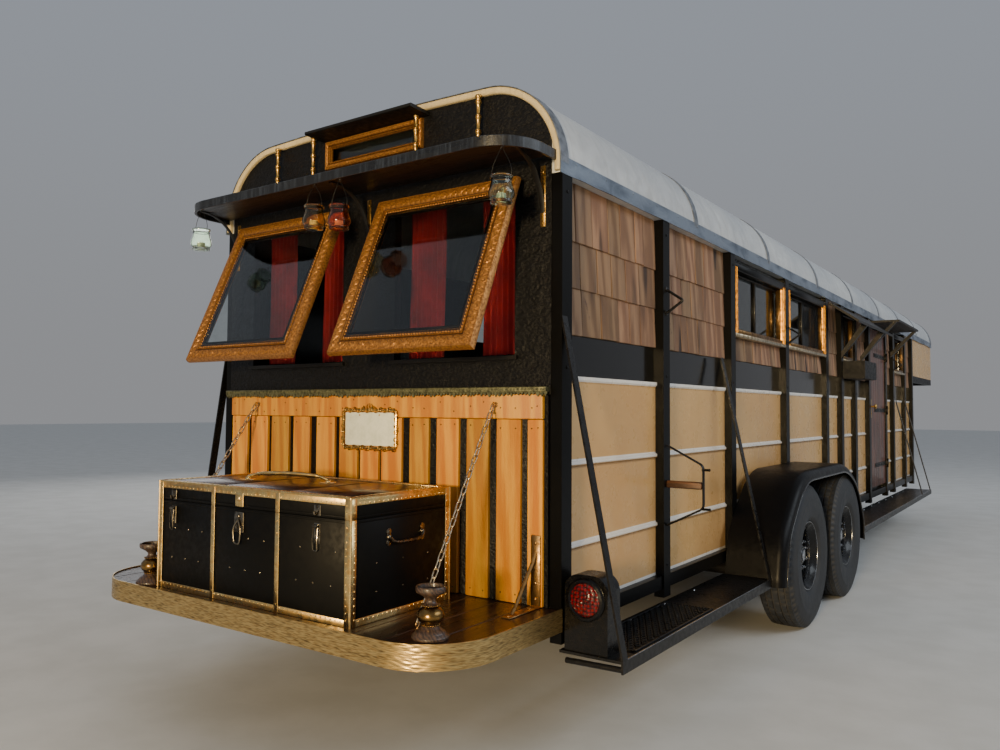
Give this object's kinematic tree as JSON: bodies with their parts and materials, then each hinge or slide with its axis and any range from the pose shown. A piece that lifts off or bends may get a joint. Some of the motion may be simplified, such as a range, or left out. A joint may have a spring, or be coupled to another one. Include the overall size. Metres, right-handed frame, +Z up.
{
  "type": "vardo wagon",
  "caption": "Vardo wagon on a gooseneck trailer: arched metal roof, cedar and cream walls, hung rear windows, tail deck with trunk, tandem wheels and landing jack.",
  "frame": {"origin": "centre of the wagon's box on the ground", "axes": "+X to the wagon's right side, +Y to the nose, +Z up"},
  "size_m": [2.6846, 10.9264, 2.608],
  "materials": {
    "chassis_black": "black chassis paint",
    "axle_black": "black paint, dusty",
    "floor_boards": "worn floor boards",
    "wall_black": "gloss black paint",
    "post_black": "gloss black paint",
    "hammered_black": "black paint with a coarse hammered texture",
    "cream_paint": "satin tan paint",
    "cedar_shingle": "weathered cedar with knots",
    "cedar_slat": "varnished orange cedar",
    "gilt_wood": "carved wood in antique gold",
    "window_glass": "clear pane",
    "roof_metal": "pale bowed metal sheet",
    "flashing_metal": "grey-blue metal strip",
    "tan_trim": "cream paint",
    "shelf_black": "gloss black paint on wood",
    "bracket_iron": "black iron, worn to bare metal at edges",
    "brass": "aged brass",
    "brass_band": "streaked antique gold",
    "dark_red_paint": "dark red paint",
    "red_cloth": "red curtain cloth",
    "plate_white": "blank white plate in a metal frame",
    "deck_wood": "glossy dark brown planks",
    "chain_steel": "tarnished chain",
    "trunk_black": "black covering with riveted brass edges",
    "turned_wood": "dark turned wood",
    "jar_glass": "tinted jar glass",
    "board_black": "black paint, worn by feet",
    "fender_black": "smooth gloss black",
    "lamp_red": "red lens",
    "door_wood": "cedar boards",
    "awning_wood": "dark stained boards",
    "tyre_rubber": "worn black tyre",
    "rim_black": "black steel rim"
  },
  "bodies": {
    "wagon": {"chassis_frame": "chassis_black", "axle_rear": "axle_black", "axle_front": "axle_black", "leaf_springs": "axle_black", "floor": "floor_boards", "wall_right": "wall_black", "wall_left": "wall_black", "rear_wall": "hammered_black", "front_wall": "wall_black", "nose_shell": "cream_paint", "wall_posts": "post_black", "side_panels": "cream_paint", "shingles": "cedar_shingle", "side_casings": "gilt_wood", "side_glass": "window_glass", "roof_skin": "roof_metal", "roof_flashing": "flashing_metal", "arch_trim": "tan_trim", "rear_shelf": "shelf_black", "shelf_brackets": "bracket_iron", "spindles": "brass", "transom_frame": "gilt_wood", "transom_hood": "shelf_black", "window_sills": "dark_red_paint", "curtains": "red_cloth", "window_hinges": "bracket_iron", "curtain_rods": "brass", "slat_panel": "cedar_slat", "number_plate": "plate_white", "tail_deck": "deck_wood", "deck_band": "brass_band", "deck_brackets": "brass", "deck_chains": "chain_steel", "trunk_body": "trunk_black", "candle_stands": "turned_wood", "lantern_jars": "jar_glass", "running_boards": "board_black", "board_stays": "bracket_iron", "wall_hooks": "bracket_iron", "fenders": "fender_black", "lamp_boxes": "fender_black", "tail_lamps": "lamp_red", "eave_awning": "awning_wood", "planter_box": "awning_wood", "gooseneck_frame": "chassis_black", "landing_jack": "axle_black"},
    "wheel_rear_right": {"tyre_rear_right": "tyre_rubber", "rim_rear_right": "rim_black"},
    "wheel_front_right": {"tyre_front_right": "tyre_rubber", "rim_front_right": "rim_black"},
    "wheel_rear_left": {"tyre_rear_left": "tyre_rubber", "rim_rear_left": "rim_black"},
    "wheel_front_left": {"tyre_front_left": "tyre_rubber", "rim_front_left": "rim_black"},
    "window_right": {"window_frame_right": "gilt_wood", "window_glass_right": "window_glass"},
    "window_left": {"window_frame_left": "gilt_wood", "window_glass_left": "window_glass"},
    "lid": {"trunk_lid": "trunk_black"},
    "door": {"entry_door": "door_wood"}
  },
  "joints": [
    {"name": "wheel_rear_right_spin", "type": "hinge", "parent": "wagon", "child": "wheel_rear_right", "pos_m": [1.2125, -2.35685, 0.42], "axis": [1, 0, 0], "continuous": true},
    {"name": "wheel_front_right_spin", "type": "hinge", "parent": "wagon", "child": "wheel_front_right", "pos_m": [1.2125, -1.37685, 0.42], "axis": [1, 0, 0], "continuous": true},
    {"name": "wheel_rear_left_spin", "type": "hinge", "parent": "wagon", "child": "wheel_rear_left", "pos_m": [-1.2125, -2.35685, 0.42], "axis": [1, 0, 0], "continuous": true},
    {"name": "wheel_front_left_spin", "type": "hinge", "parent": "wagon", "child": "wheel_front_left", "pos_m": [-1.2125, -1.37685, 0.42], "axis": [1, 0, 0], "continuous": true},
    {"name": "window_right_hinge", "type": "hinge", "parent": "wagon", "child": "window_right", "pos_m": [0.48, -4.78685, 2.192], "axis": [-1, 0, 0], "range_deg": [-23.4, 20]},
    {"name": "window_left_hinge", "type": "hinge", "parent": "wagon", "child": "window_left", "pos_m": [-0.48, -4.78685, 2.192], "axis": [-1, 0, 0], "range_deg": [-23.4, 20]},
    {"name": "trunk_lid_hinge", "type": "hinge", "parent": "wagon", "child": "lid", "pos_m": [0, -4.85985, 0.893], "axis": [-1, 0, 0], "range_deg": [0, 78]},
    {"name": "door_hinge", "type": "hinge", "parent": "wagon", "child": "door", "pos_m": [1.025, 1.92265, 1.3], "axis": [0, 0, 1], "range_deg": [0, 100]}
  ]
}
